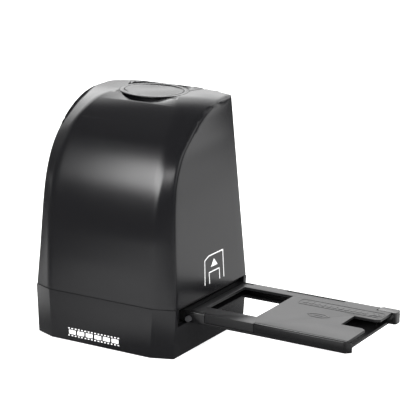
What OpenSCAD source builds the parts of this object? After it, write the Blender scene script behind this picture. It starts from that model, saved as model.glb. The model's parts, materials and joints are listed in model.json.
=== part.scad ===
// Desktop film scanner: a curved tower on a lit base, with a film tray that slides out of its side.
// Millimetres. +X is the tray side, -Y the curved front, +Z up. The origin is the middle of the rubber pad.

/* [Housing] */
// Width at the seam between tower and base
body_w = 90; // [86:1:100]
// Depth at the seam
body_d = 77.4; // [75:0.2:84]
// Height of the back top edge
body_h = 131.7; // [128:0.1:150]
// Height of the seam
seam_z = 27.4; // [27:0.1:32]
// Wall of both shells
wall = 2.2; // [1.8:0.1:2.4]
// Height of the base's underside above the table
underside = 0.3; // [0.2:0.1:1]
// Lean of the tower's sides, in degrees
side_lean = 2.9; // [1:0.1:4]
// Lean of the back
back_lean = 4.4; // [1:0.1:5]
// Lean of the front below its bend
front_lean = 2.9; // [1:0.1:4]
// Lean of the front between its two bends
brow_lean = 31; // [25:1:36]
// Slope of the top towards the back
crown_tilt = 4.1; // [1:0.1:6]
// Distance from the front to the line where brow and top would meet
brow_depth = 28.2; // [24:0.2:31]
// Radius of the lower bend of the front
brow_r = 104; // [40:1:104]
// Radius of the upper bend
crown_r = 43.7; // [30:0.1:44]
// Radius of the back top edge
back_edge_r = 1.5; // [0.5:0.1:2]
// Inward taper of the base's sides
base_side_taper = 2.7; // [0:0.1:4]
// Inward taper of the base's back
base_back_taper = 3.3; // [0:0.1:4]
// Outward flare of the base's front
base_front_flare = 1.2; // [0:0.1:2]

/* [Corner facets] */
// Turn of the facets towards the sides
facet_turn = 20.4; // [16:0.2:24]
// Dip of the facets towards the sides
facet_dip = 2.8; // [0:0.1:6]
// Distance of the side edges behind the front, at the seam
facet_depth = 4.4; // [3:0.1:6]
// Lean of a facet below, between and above its bends
facet_leans = [4.8, 41.5, 85];
// Depth of a facet's two bends below its top
facet_drops = [34.6, 4.1];
// Radii of a facet's two bends
facet_radii = [70, 43.7];

/* [Shoulders] */
// Turn of the shoulders towards the sides
shoulder_turn = 14; // [10:0.5:18]
// Dip of the shoulders towards the sides
shoulder_dip = 73.4; // [70:0.2:76]
// Depth and height of the point where the bend lines of a shoulder's side edge meet
shoulder_at = [-23.8, 119.6];
// Lean of a shoulder in front of and behind its bend
shoulder_leans = [53.6, 74];
// Radius of a shoulder's bend
shoulder_r = 221; // [180:1:240]

/* [Button] */
// Width of the button
button_w = 35; // [30:0.5:36]
// Depth of the button
button_d = 22.6; // [20:0.2:23]
// Radius of the button's ends
button_end_r = 8; // [6:0.5:9]
// Distance of the button's middle from the back top edge
button_inset = 15.1; // [14.8:0.1:15.6]
// Depth of the button's top below the back top edge
button_drop = 1.4; // [1:0.1:2]
// Travel of the button
button_travel = 1.2; // [0.6:0.1:1.4]
// Running gap around the button
button_gap = 0.3; // [0.2:0.05:0.4]
// Width of the trim's rim
rim_w = 2.6; // [2.2:0.1:2.8]
// Thickness of the rim
rim_t = 1.4; // [1:0.1:2]
// Radius of the finger scoop in front of the rim
scoop_r = 34; // [30:1:38]
// Radius of the return spring
spring_r = 5.1; // [4.9:0.1:5.6]
// Wire of the return spring
spring_wire = 0.7; // [0.5:0.1:0.8]
// Turns of the return spring
spring_turns = 5; // [4:1:6]

/* [Slide tray] */
// Width of the slide mount that the tray takes
slide_w = 50; // [50:0.5:51]
// Side play of the slide mount
slide_play = 0.6; // [0.4:0.1:1]
// Width of the rail on the latch side
latch_rail_w = 5.1; // [4.8:0.1:5.4]
// Width of the rail on the hinge side
hinge_rail_w = 3.4; // [3.2:0.1:3.6]
// Height of the tray
tray_h = 6.4; // [6:0.1:6.6]
// Length of the tray's rails
tray_l = 104.5; // [100:0.5:110]
// Length of tray inside the housing when drawn out
tray_engage = 12; // [10:0.5:14]
// Distance of the tray's hinge side from the back of the housing
tray_inset = 3.2; // [3.1:0.05:3.5]
// Height of the tray's underside
tray_z = 17.8; // [17.4:0.1:18]
// Thickness of the tray's floor and of its cover
sheet_t = 1.4; // [1.2:0.1:1.6]
// Width of the frame window, across the tray
window_w = 39.7; // [36:0.1:42]
// Length of the frame window, along the tray
window_l = 30; // [26:0.5:32]
// Distance of the window from the tray's inner end
window_x = 18; // [17:0.5:20]
// Width of the thumb notch
notch_w = 15.2; // [12:0.2:18]
// Length of the thumb notch
notch_l = 14.3; // [10:0.1:18]
// Flare of the notch's mouth
notch_flare = 2.4; // [1:0.2:3]
// Start and end of the cover's latch flap, from the tray's inner end
flap_x = [22.9, 51.9];
// Start and end of each hinge knuckle, from the tray's inner end
knuckle_x = [[20, 41], [76, 96.3]];
// Radius of the hinge pin
hinge_pin_r = 0.7; // [0.6:0.05:0.8]
// Radius of the stop pin beside the tray
stop_pin_r = 1.5; // [1.2:0.1:1.6]
// Length of the stop pin beside the tray
stop_pin_l = 2; // [1.5:0.1:2.2]

/* [Inside] */
// Thickness of the circuit boards
board_t = 1.6; // [1.2:0.2:2]
// Height of the image sensor's board
camera_z = 90; // [86:1:94]
// Radius of the lens barrel
barrel_r = 7; // [6:0.5:8]
// Radius of the case screws
case_screw_r = 1.5; // [1.3:0.1:1.6]
// Radius of the small board screws
board_screw_r = 1; // [0.8:0.1:1.1]
// Width, height and depth of the USB socket
usb_size = [7.7, 3.9, 6.6];
// Height of the USB socket's middle
usb_z = 38; // [36:0.5:40]
// Width and depth of the rubber pad
pad_size = [62, 52];

/* [Fits] */
// Gap under a sliding piece
glide_gap = 0.3; // [0.2:0.05:0.4]
// Room between the guides and the wall around them
wall_gap = 0.3; // [0.2:0.05:0.5]
// Room that a stop leaves at the end of a travel
stop_room = 0.6; // [0.4:0.05:1]
// Gap between parts of one assembly
seat_gap = 0.1; // [0.05:0.05:0.15]
// Radial clearance of a turning pin
pin_clearance = 0.05; // [0.02:0.01:0.1]

/* [Hidden] */
$fn = 96;

half_w = body_w / 2;
front = -body_d / 2;
back = body_d / 2;
FAR = 200;
// Makes an arc cross its lines instead of only touching them
arc_play = 0.004;

// Outline of the tower from the side
crown_back = [back - (body_h - seam_z) * tan(back_lean), body_h];
crown_front = [front + brow_depth, body_h - (crown_back[0] - front - brow_depth) * tan(crown_tilt)];
knee = meet([front, seam_z], lean(front_lean), crown_front, lean(brow_lean));
crown_turn = 90 - crown_tilt - brow_lean;
brow_turn = brow_lean - front_lean;
brow_fit = (norm(crown_front - knee) - crown_r * tan(crown_turn / 2)) / tan(brow_turn / 2);
run_on = 20;
tower_side = [
    [front - run_on * tan(front_lean), seam_z - run_on], [back + run_on * tan(back_lean), seam_z - run_on],
    crown_back, crown_front, knee
];
tower_radii = [0, 0, back_edge_r, crown_r, min(brow_r, brow_fit)];
tower_foot_x = half_w + run_on * tan(side_lean);
tower_top_x = half_w - (body_h + run_on - seam_z) * tan(side_lean);
tower_face = [
    [-tower_foot_x, seam_z - run_on], [tower_foot_x, seam_z - run_on],
    [tower_top_x, body_h + run_on], [-tower_top_x, body_h + run_on]
];

// Outlines of a facet and of a shoulder, each seen along its own run
facet_h = (body_h - seam_z) * cos(facet_dip);
facet_foot = seen_along(facet_turn, facet_dip, [0, front + facet_depth, 0]);
facet_knee = facet_foot
    + lean(facet_leans[0]) * (facet_h - facet_drops[0] - facet_foot[1]) / cos(facet_leans[0]);
facet_crown = facet_knee + lean(facet_leans[1]) * (facet_drops[0] - facet_drops[1]) / cos(facet_leans[1]);
facet_low = facet_foot - lean(facet_leans[0]) * FAR / 2;
facet_high = facet_crown + lean(facet_leans[2]) * FAR;
facet_side = [facet_low, [facet_high[0], facet_low[1]], facet_high, facet_crown, facet_knee];
facet_fit = (norm(facet_crown - facet_knee) - facet_radii[1] * tan((facet_leans[2] - facet_leans[1]) / 2))
    / tan((facet_leans[1] - facet_leans[0]) / 2);
facet_round = [0, 0, 0, facet_radii[1], min(facet_radii[0], facet_fit)];
shoulder_rise = shoulder_at[1] - seam_z;
shoulder_bend = seen_along(shoulder_turn, shoulder_dip,
    [-shoulder_rise * tan(side_lean), shoulder_at[0], shoulder_rise]);
shoulder_low = shoulder_bend - lean(shoulder_leans[0]) * FAR;
shoulder_high = shoulder_bend + lean(shoulder_leans[1]) * FAR;
shoulder_side = [shoulder_low, [shoulder_high[0], shoulder_low[1]], shoulder_high, shoulder_bend];
shoulder_round = [0, 0, 0, shoulder_r];
// Slope of the facets where they cross the seam, which the base keeps to the floor
facet_slope = (sin(facet_leans[0]) * sin(facet_dip) * cos(facet_turn) + cos(facet_leans[0]) * sin(facet_turn))
    / (cos(facet_leans[0]) * cos(facet_turn) - sin(facet_leans[0]) * sin(facet_dip) * sin(facet_turn));

// Outlines of the base from the front, from the side and from above
base_foot_x = half_w - (seam_z + run_on) * tan(base_side_taper);
base_top_x = half_w + run_on * tan(base_side_taper);
base_face = [
    [-base_foot_x, -run_on], [base_foot_x, -run_on],
    [base_top_x, seam_z + run_on], [-base_top_x, seam_z + run_on]
];
base_side = [
    [front - (seam_z + run_on) * tan(base_front_flare), -run_on],
    [back - (seam_z + run_on) * tan(base_back_taper), -run_on],
    [back + run_on * tan(base_back_taper), seam_z + run_on],
    [front + run_on * tan(base_front_flare), seam_z + run_on]
];
nose = 3;
nose_x = half_w - (facet_depth + nose) / facet_slope;
cheek_y = front + facet_depth + run_on * facet_slope;
base_plan = [
    [-nose_x, front - nose], [nose_x, front - nose], [half_w + run_on, cheek_y],
    [half_w + run_on, back + run_on], [-half_w - run_on, back + run_on], [-half_w - run_on, cheek_y]
];
seam_groove = 0.5;
pad_t = 1.2;
pad_r = 4;

// Button and trim
button_y = crown_back[0] - button_inset;
button_z = body_h - button_drop;
sleeve_t = 1;
sleeve_h = 9.4;
sleeve_bottom = button_z - sleeve_h;
skirt_t = 1.5;
cap_t = 2.2;
flange_t = 2.4;
flange_reach = 0.8;
stem_r = 2;
boss_r = spring_r + 1;
boss_h = 11.4;
boss_z = button_z - boss_h;
button_board_drop = 22.4;
button_board_z = button_z - button_board_drop;
button_board_size = [56, 18];
board_r = 2;
button_post_x = 23.5;
switch_size = [6, 6, 3.4];
switch_base = 0.6;
plunger_r = 1.7;
plunger_rise = 0.2;
plunger_top = button_board_z + board_t + switch_size[2] + button_travel + plunger_rise;
dish_r = 160;
dish_t = 0.8;
rim_reach = button_gap + rim_w;
sleeve_reach = button_gap + sleeve_t;
scoop_ahead = 6.8;
scoop_drop = 4.3;
scoop_at = [0, button_y - scoop_ahead, button_z - scoop_drop + scoop_r];
stand_r = 2.6;

// Tray
channel_w = slide_w + slide_play;
tray_w = channel_w + latch_rail_w + hinge_rail_w;
tray_x = half_w - tray_engage;
tray_y = back - tray_inset - tray_w / 2;
channel_mid = (latch_rail_w - hinge_rail_w) / 2;
hinge_r = hinge_rail_w / 2;
hinge_y = tray_w / 2 - hinge_r;
hinge_z = tray_h - hinge_r;
lip_t = 1.8;
lip_r = 0.8;
tray_side = tray_w / 2;
ledge_z = tray_h - sheet_t;
ear_l = 3;
ear_x = [knuckle_x[1][1] + glide_gap, tray_l + ear_l];
ear_w = 6.4;
ear_r = 1.6;
rail_x = [0, tray_l + ear_l - 1];
rail_slant = 4;
hinge_x = [0, ear_x[0] + 1];
floor_x = [0, tray_l - 1];
floor_edge = 1;
cover_setback = 1.5;
cover_x = [tray_engage + cover_setback, tray_l + 0.5];
slide_stop = window_x + window_l / 2 - channel_w / 2;
tray_travel = tray_x + window_x + window_l / 2;
axis_y = tray_y + channel_mid;
tray_back = tray_y + tray_w / 2;
tray_front = tray_y - tray_w / 2;
tray_top = tray_z + tray_h;
pin_z = 0.38 * tray_h;
pin_seat = 1.8;

// Guide frame and slot
floor_top = underside + wall;
glide_z = tray_z - glide_gap;
glide_t = 2;
gate_z = tray_top + glide_gap + seat_gap;
fence_t = 3.4;
fence_y = tray_front - stop_pin_l - stop_room - fence_t;
fence_mid = fence_y + fence_t / 2;
stop_x = tray_x - tray_travel - stop_room;
stop_t = 4.9;
frame_x = [stop_x - stop_t, half_w - wall - 1];
slot_ahead = 6.4;
slot_y = [tray_front - stop_pin_l - slot_ahead, tray_back + glide_gap + seat_gap];
slot_z = tray_z - glide_gap - 2 * seat_gap;

// Radius and height of a screw's head, as multiples of the screw's radius
head_r = 1.9;
head_h = 1.4;

// Three posts that take the screws through the base into the tower
post_insets = [5.8, 8.1, 6.2];
post_x = half_w - post_insets[0];
post_front = front + post_insets[1];
post_back = back - post_insets[2];
case_posts = [[-1, post_front], [1, post_front], [-1, post_back]];
post_r = 3.4;
post_room = 0.5;
post_h = 14;
post_rib_t = 1.6;
case_screw_grip = 9;
case_hole_h = 11;

// Leaf springs beside the tray
leaf_setback = 18.6;
leaf_x = [stop_x + leaf_setback, frame_x[1] - leaf_setback];
leaf_l = 24;
leaf_t = 0.4;
leaf_h = 2;

// Light box under the film
light_margin = [6, 4.3];
light_in = [window_l, window_w] + light_margin;
light_wall = 2;
light_top = glide_z - glide_t;
led_size = [3.5, 2.8, 1.2];
leg_r = 3;
leg_x = 30;
leg_ahead = 25.8;
leg_behind = 24.2;
leg_y = [axis_y - leg_ahead, axis_y + leg_behind];
leg_peg = 2.5;

// Camera above the film, hung from its board
hood_t = 1.5;
hood_base = [19, 21];
hood_top = 14;
hood_drop = 24;
hood_z = camera_z - hood_drop;
hood_r = 3;
hood_plate = 40;
hood_screw_x = 24;
small_screw_l = 6;
pillar = 17;
sensor_board_size = 42;
mount_w = 16;
mount_h = 18;
mount_z = camera_z - mount_h;
barrel_l = 22;
barrel_drop = 32;
barrel_z = camera_z - barrel_drop;
barrel_wall = 2;
barrel_lip = 1;
lens_seats = [2.6, 19];
lens_bends = [15, 20];
lens_depths = [3, 2.6];
filter_size = [9, 7.6, 0.6];
filter_drop = 6;
filter_z = camera_z - filter_drop;
sensor_size = [8, 6.4, 1.4];
eye_r = 3.4;

// Main board along the back
main_size = [60, 46];
main_z = 34;
main_inset = 9.7;
main_y = back - main_inset;
main_back = main_y + board_t;
main_post = [26, 18];
chip_size = [10, 1.4, 10];
chip_at = [-5, 52];
memory_size = [10, 1.1, 6];
memory_at = [-20, 54];
capacitor_r = 2.5;
capacitor_l = 5.5;
capacitor_x = 21;
capacitor_z = main_z + 10;
capacitor_pitch = 8;
usb_room = 0.5;
usb_wall = 0.4;
usb_back_wall = 0.5;
tongue_size = [5, 4.8, 1];

// Rules
function unit(v) = v / norm(v);
function left(v) = [-v[1], v[0]];
function lean(a) = [sin(a), cos(a)];
// A point, measured from the seam's right-hand end, in the plane across a turned and dipped run
function seen_along(turn, dip, p) = [
    p[1] * cos(turn) - p[0] * sin(turn),
    sin(dip) * (p[0] * cos(turn) + p[1] * sin(turn)) + cos(dip) * p[2]
];
function at(list, i) = list[(i + len(list)) % len(list)];
// Where the line through p along d meets the line through q along e
function meet(p, d, q, e) =
    p + d * (((q - p)[0] * e[1] - (q - p)[1] * e[0]) / (d[0] * e[1] - d[1] * e[0]));
// Corners of an outline that runs counter-clockwise, moved inwards by t
function inset(points, t) = [
    for (i = [0:len(points) - 1])
        let (u = unit(points[i] - at(points, i - 1)), v = unit(at(points, i + 1) - points[i]))
        meet(points[i] + left(u) * t, u, points[i] + left(v) * t, v)
];
function shrink(radii, t) = [for (r = radii) max(0, r - t)];

// What rounding leaves over outside the corner b
module corner_waste(a, b, c, r) {
    u = unit(b - a);
    v = unit(c - b);
    cut = r * tan(acos(u * v) / 2);
    centre = b - u * cut + left(u) * r;
    difference() {
        polygon([centre, b - u * cut - left(u), b - left(u) - left(v), b + v * cut - left(v)]);
        translate(centre) circle(r + arc_play);
    }
}

// A convex outline with each corner rounded to its own radius
module outline(points, radii) {
    difference() {
        polygon(points);
        for (i = [0:len(points) - 1])
            if (radii[i] > 0) corner_waste(at(points, i - 1), points[i], at(points, i + 1), radii[i]);
    }
}

// Stretch a drawing of the YZ plane across X, or one of the XZ plane across Y
module along_x(length) { rotate([90, 0, 90]) linear_extrude(length, center = true) children(); }
module along_y(length) { rotate([90, 0, 0]) linear_extrude(length, center = true) children(); }

// A box given by the places of its faces
module span(x, y, z) {
    translate([x[0], y[0], z[0]]) cube([x[1] - x[0], y[1] - y[0], z[1] - z[0]]);
}

// A block that stands on the XY plane
module block(x, y, z) { translate([-x / 2, -y / 2, 0]) cube([x, y, z]); }

// An oval of two end circles and two flatter arcs
module oval(w, d, end_r) {
    run = w / 2 - end_r;
    flat_r = (run * run + d * d / 4 - end_r * end_r) / (2 * (d / 2 - end_r));
    reach = run * flat_r / (flat_r - end_r);
    intersection() {
        translate([0, flat_r - d / 2]) circle(flat_r);
        translate([0, d / 2 - flat_r]) circle(flat_r);
        square([2 * reach, d], center = true);
    }
    for (side = [-1, 1]) translate([side * run, 0]) circle(end_r);
}

// The button's oval, grown by t
module button_oval(t, low, high) {
    translate([0, button_y, low]) linear_extrude(high - low)
        oval(button_w + 2 * t, button_d + 2 * t, button_end_r + t);
}

// A flat plate with round corners, standing on the XY plane
module plate(w, d, t, r) {
    linear_extrude(t) {
        square([w, d - 2 * r], center = true);
        square([w - 2 * r, d], center = true);
        for (x = [-1, 1], y = [-1, 1]) translate([x * (w / 2 - r), y * (d / 2 - r)]) circle(r);
    }
}

// A pan-head screw that points up, with the underside of its head at the origin
module screw(r, length) {
    cylinder(r = r, h = length);
    translate([0, 0, -head_h * r]) difference() {
        cylinder(r = head_r * r, h = head_h * r);
        for (turn = [0, 90]) rotate(turn) cube([2.4 * r, 0.5 * r, 1.2 * r], center = true);
    }
}

// Places of the screws
module at_case_posts() { for (p = case_posts) translate([p[0] * post_x, p[1], 0]) children(); }
module at_button_posts() { for (x = [-1, 1]) translate([x * button_post_x, button_y, 0]) children(); }
module at_pillars() {
    for (x = [-1, 1], y = [-1, 1]) translate([x * pillar, axis_y + y * pillar, 0]) children();
}
module at_legs() { for (x = [-1, 1], y = leg_y) translate([x * leg_x, y, 0]) children(); }
module at_main_posts() {
    for (x = [-1, 1], z = [-1, 1])
        translate([x * main_post[0], main_back, main_z + main_size[1] / 2 + z * main_post[1]])
            rotate([-90, 0, 0]) children();
}

// ---- Housing ----

// A corner's facet and shoulder with their skin moved inwards by t
module corner(t) {
    translate([half_w, 0, seam_z]) intersection() {
        rotate([0, facet_dip, facet_turn])
            along_x(2 * FAR) outline(inset(facet_side, t), shrink(facet_round, t));
        rotate([0, shoulder_dip, shoulder_turn])
            along_x(4 * FAR) outline(inset(shoulder_side, t), shrink(shoulder_round, t));
    }
}

// The tower's solid with its skin moved inwards by t
module tower(t, low) {
    intersection() {
        along_x(FAR) outline(inset(tower_side, t), shrink(tower_radii, t));
        along_y(FAR) polygon(inset(tower_face, t));
        corner(t);
        mirror([1, 0, 0]) corner(t);
        span([-FAR, FAR], [-FAR, FAR], [low, FAR]);
    }
}

// The base's solid with its skin moved inwards by t
module base(t, low, high) {
    intersection() {
        along_y(FAR) polygon(inset(base_face, t));
        along_x(FAR) polygon(inset(base_side, t));
        translate([0, 0, low]) linear_extrude(high - low) polygon(inset(base_plan, t));
    }
}

module upper_shell() {
    color("#2a2a2c") difference() {
        union() {
            difference() {
                tower(0, seam_z);
                tower(wall, seam_z - 1);
            }
            intersection() {
                tower(wall / 2, seam_z);
                union() {
                    button_oval(rim_reach + wall, button_z - rim_t - wall, body_h);
                    translate(scoop_at) sphere(scoop_r + wall);
                    at_button_posts() translate([0, 0, button_board_z + board_t])
                        cylinder(r = stand_r, h = FAR);
                    at_main_posts() cylinder(r = stand_r, h = FAR);
                    at_case_posts() translate([0, 0, seam_z]) {
                        cylinder(r = post_r, h = post_h);
                        span([-post_x / 4, post_x / 4], [-post_rib_t / 2, post_rib_t / 2], [0, post_h]);
                    }
                }
            }
        }
        button_oval(rim_reach + seat_gap, button_z - rim_t, FAR);
        button_oval(sleeve_reach + seat_gap, sleeve_bottom - wall, FAR);
        translate(scoop_at) sphere(scoop_r);
        at_button_posts() translate([0, 0, button_board_z])
            cylinder(r = board_screw_r + pin_clearance, h = small_screw_l + 2);
        at_main_posts() translate([0, 0, -1])
            cylinder(r = board_screw_r + pin_clearance, h = small_screw_l / 2 + 1);
        at_case_posts() translate([0, 0, seam_z - 1])
            cylinder(r = case_screw_r + pin_clearance, h = case_hole_h + 1);
        translate([0, main_back, usb_z - usb_size[1] / 2 - usb_room])
            block(usb_size[0] + 2 * usb_room, 2 * main_inset, usb_size[1] + 2 * usb_room);
    }
}

module base_shell() {
    color("#2c2c2e") difference() {
        union() {
            difference() {
                union() {
                    base(0, underside, seam_z - seam_groove);
                    base(seam_groove, underside, seam_z);
                }
                base(wall, floor_top, FAR);
            }
            intersection() {
                base(wall / 2, underside, seam_z);
                at_case_posts() cylinder(r = post_r, h = FAR);
            }
            at_legs() translate([0, 0, underside + wall / 2]) cylinder(r = leg_r / 2, h = wall / 2 + leg_peg);
        }
        span([half_w - wall - 1, FAR], slot_y, [slot_z, FAR]);
        plate(pad_size[0] + 2 * seat_gap, pad_size[1] + 2 * seat_gap, pad_t, pad_r);
        at_case_posts() {
            cylinder(r = case_screw_r + seat_gap, h = FAR);
            cylinder(r = head_r * case_screw_r + seat_gap, h = floor_top);
        }
    }
}

module rubber_pad() {
    color("#1d1d1d") plate(pad_size[0], pad_size[1], pad_t, pad_r);
}

module case_screws() {
    color("silver") at_case_posts() translate([0, 0, floor_top])
        screw(case_screw_r, seam_z + case_screw_grip - floor_top);
}

// ---- Button ----

module button_trim() {
    color("#242426") difference() {
        union() {
            button_oval(rim_reach, button_z - rim_t, button_z);
            button_oval(sleeve_reach, sleeve_bottom, button_z);
        }
        button_oval(button_gap, sleeve_bottom - 1, button_z + 1);
    }
}

module button_cap() {
    cap_bottom = sleeve_bottom - glide_gap - flange_t;
    color("#343436") difference() {
        union() {
            difference() {
                union() {
                    button_oval(0, cap_bottom, button_z);
                    button_oval(button_gap + flange_reach, cap_bottom, cap_bottom + flange_t);
                }
                button_oval(-skirt_t, cap_bottom - 1, button_z - cap_t);
            }
            translate([0, button_y, boss_z]) cylinder(r = boss_r, h = button_z - cap_t / 2 - boss_z);
            translate([0, button_y, plunger_top])
                cylinder(r = stem_r, h = button_z - cap_t / 2 - plunger_top);
        }
        translate([0, button_y, button_z + dish_r - dish_t]) sphere(dish_r);
    }
}

// The return spring, a round wire on a helix
module button_spring() {
    steps = 18;
    sides = 6;
    rings = spring_turns * steps;
    low = button_board_z + board_t + spring_wire / 2 + 0.01;
    rise = boss_z - spring_wire / 2 - 0.01 - low;
    color("silver") translate([0, button_y, 0]) polyhedron(
        points = [
            for (i = [0:rings], k = [0:sides - 1])
                let (a = 360 * i / steps, b = 360 * k / sides, r = spring_r + spring_wire / 2 * cos(b))
                [r * cos(a), r * sin(a), low + rise * i / rings + spring_wire / 2 * sin(b)]
        ],
        faces = concat(
            [[for (k = [0:sides - 1]) k]],
            [for (i = [0:rings - 1], k = [0:sides - 1])
                let (a = i * sides, b = a + sides, m = (k + 1) % sides) [a + k, b + k, b + m, a + m]],
            [[for (k = [sides - 1:-1:0]) rings * sides + k]]
        )
    );
}

module button_switch() {
    color("#3a3a3a") translate([0, button_y, button_board_z + board_t]) difference() {
        translate([-switch_size[0] / 2, -switch_size[1] / 2, 0]) cube(switch_size);
        translate([0, 0, switch_base]) cylinder(r = plunger_r + pin_clearance, h = FAR);
    }
}

module switch_plunger() {
    plunger_l = switch_size[2] - switch_base;
    color("#b9b4a8") translate([0, button_y, plunger_top - plunger_l]) cylinder(r = plunger_r, h = plunger_l);
}

module button_board() {
    color("#2f6b45") difference() {
        translate([0, button_y, button_board_z])
            plate(button_board_size[0], button_board_size[1], board_t, board_r);
        at_button_posts() translate([0, 0, button_board_z - 1]) cylinder(r = board_screw_r + seat_gap, h = 4);
    }
}

module button_screws() {
    color("silver") at_button_posts() translate([0, 0, button_board_z])
        screw(board_screw_r, small_screw_l + 1);
}

// ---- Slide tray ----
// Drawn from its inner end at x = 0, with its middle at y = 0 and its underside at z = 0

module on_tray() { translate([tray_x, tray_y, tray_z]) children(); }
module run_x(x) { translate([x[0], 0, 0]) rotate([90, 0, 90]) linear_extrude(x[1] - x[0]) children(); }
module film_window(margin, low, high) {
    span([window_x - margin, window_x + window_l + margin],
        [channel_mid - window_w / 2 - margin, channel_mid + window_w / 2 + margin], [low, high]);
}
module hinge_barrel(x, r) {
    translate([x[0], hinge_y, hinge_z]) rotate([0, 90, 0]) cylinder(r = r, h = x[1] - x[0]);
}

module tray_frame() {
    color("#38383a") on_tray() difference() {
        union() {
            // Latch rail: a lip and a ledge for the cover
            run_x(rail_x) {
                translate([-tray_side, 0])
                    outline([[0, 0], [lip_t, 0], [lip_t, tray_h], [0, tray_h]], [lip_r, 0, lip_r / 2, lip_r]);
                translate([lip_r - tray_side, 0]) square([latch_rail_w - lip_t, ledge_z]);
            }
            run_x([0, tray_l]) translate([lip_t - tray_side, 0]) square([latch_rail_w - lip_t, ledge_z]);
            // Hinge rail
            run_x(hinge_x) translate([hinge_y - hinge_r, 0]) square([hinge_rail_w, hinge_z]);
            hinge_barrel(hinge_x, hinge_r);
            // Floor, end block and the deck over the end of the channel
            span(floor_x, [floor_edge - tray_side, tray_side - floor_edge], [0, sheet_t]);
            span([0, slide_stop], [lip_t / 2 - tray_side, hinge_y], [0, tray_h]);
            span([0, cover_x[0] - glide_gap], [lip_t / 2 - tray_side, hinge_y], [ledge_z, tray_h]);
            // Grip ear
            translate([(ear_x[0] + ear_x[1]) / 2, tray_side - ear_w / 2, 0])
                plate(ear_x[1] - ear_x[0], ear_w, tray_h, ear_r);
        }
        film_window(1, -1, ledge_z - seat_gap);
        for (k = knuckle_x) span([k[0] - glide_gap, k[1] + glide_gap],
            [hinge_y - hinge_rail_w, tray_side + 1], [hinge_z - hinge_r - glide_gap, tray_h + 1]);
        span([flap_x[0] - glide_gap, flap_x[1] + glide_gap], [-tray_side - 1, lip_t + glide_gap - tray_side],
            [sheet_t, tray_h + 1]);
        hinge_barrel([cover_x[0], ear_x[1] + 1], hinge_pin_r + pin_clearance);
        translate([cover_x[0], -tray_side - 1, pin_z])
            rotate([-90, 0, 0]) cylinder(r = stop_pin_r + pin_clearance, h = 1 + lip_t + pin_seat + 0.2);
        // Slanting outer end of the latch rail
        translate([rail_x[1], -tray_side, 0]) rotate([0, 0, 45])
            cube([rail_slant, rail_slant, 4 * tray_h], center = true);
    }
}

module tray_cover() {
    panel_y = [lip_t + glide_gap - tray_side, hinge_y - hinge_r - glide_gap / 2];
    mouth = notch_w / 2 + notch_flare;
    color("#8a8a8c") on_tray() difference() {
        union() {
            span(cover_x, panel_y, [ledge_z, tray_h]);
            for (k = knuckle_x) {
                hinge_barrel(k, hinge_r);
                span(k, [panel_y[1] - 1, hinge_y], [ledge_z, tray_h]);
            }
            span(flap_x, [-tray_side, panel_y[0] + 1], [ledge_z, tray_h]);
            span(flap_x, [-tray_side, lip_t - tray_side], [sheet_t + glide_gap, tray_h]);
        }
        film_window(0, -1, tray_h + 1);
        for (k = knuckle_x) hinge_barrel([k[0] - 1, k[1] + 1], hinge_pin_r + pin_clearance);
        span([ear_x[0] - glide_gap, ear_x[1] + 1], [tray_side - ear_w - glide_gap, tray_side + 1],
            [ledge_z - 1, tray_h + 1]);
        translate([cover_x[1], channel_mid, ledge_z - 1]) linear_extrude(sheet_t + 2)
            polygon([[-notch_l, -notch_w / 2], [-notch_flare, -notch_w / 2], [1, -mouth],
                [1, mouth], [-notch_flare, notch_w / 2], [-notch_l, notch_w / 2]]);
    }
}

module hinge_pin() {
    color("silver") on_tray() hinge_barrel([cover_x[0], ear_x[1] - 2], hinge_pin_r);
}

module stop_pin() {
    color("#4a4a4c") on_tray() translate([cover_x[0], -tray_side - stop_pin_l, pin_z])
        rotate([-90, 0, 0]) cylinder(r = stop_pin_r, h = stop_pin_l + lip_t + pin_seat);
}

// ---- Guide and light ----

// Corners that the guides leave free for the screw posts
module post_clearance() {
    r = post_r + post_room;
    for (p = case_posts) translate([p[0] * post_x, p[1], 0]) scale([p[0], sign(p[1]), 1]) {
        cylinder(r = r, h = FAR);
        span([0, FAR], [-r, FAR], [0, FAR]);
        span([-r, FAR], [0, FAR], [0, FAR]);
    }
}

module at_hood_screws() { for (x = [-1, 1]) translate([x * hood_screw_x, fence_mid, 0]) children(); }

module guide_frame() {
    color("#222224") difference() {
        intersection() {
            union() {
                span(frame_x, [fence_y, tray_back - seat_gap], [light_top, glide_z]);
                span(frame_x, [fence_y, fence_y + fence_t], [light_top, gate_z]);
                span([frame_x[0], stop_x], [fence_y, post_back], [light_top, gate_z]);
                at_legs() translate([0, 0, floor_top]) cylinder(r = leg_r, h = light_top - floor_top + 1);
            }
            base(wall + wall_gap, floor_top, FAR);
        }
        post_clearance();
        at_legs() translate([0, 0, floor_top - 1]) cylinder(r = leg_r / 2 + seat_gap, h = leg_peg + 1.3);
        translate([0, axis_y, 0])
            plate(light_in[0] + light_wall + 2 * seat_gap, light_in[1] + light_wall + 2 * seat_gap, FAR, 1);
        at_hood_screws() translate([0, 0, gate_z - small_screw_l])
            cylinder(r = board_screw_r + pin_clearance, h = small_screw_l + 1);
    }
}

// A bowed leaf spring that steadies the tray against its hinge side
module leaf_spring(x) {
    bow = tray_front - (fence_y + fence_t) - glide_gap;
    leaf_r = (leaf_l * leaf_l / 4 + bow * bow) / (2 * bow);
    color("silver") translate([x, fence_y + fence_t, tray_top - leaf_h - 0.2]) linear_extrude(leaf_h)
        intersection() {
            translate([0, bow - leaf_r]) difference() {
                circle(leaf_r);
                circle(leaf_r - leaf_t);
            }
            translate([-leaf_l / 2, 0]) square([leaf_l, bow + 1]);
        }
}

module rail_spring_inner() { leaf_spring(leaf_x[0]); }
module rail_spring_outer() { leaf_spring(leaf_x[1]); }

module light_box() {
    color("white") translate([0, axis_y, floor_top]) difference() {
        plate(light_in[0] + 2 * light_wall, light_in[1] + 2 * light_wall, light_top - floor_top, 2);
        translate([0, 0, -1]) plate(light_in[0], light_in[1], FAR, 1);
    }
}

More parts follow.
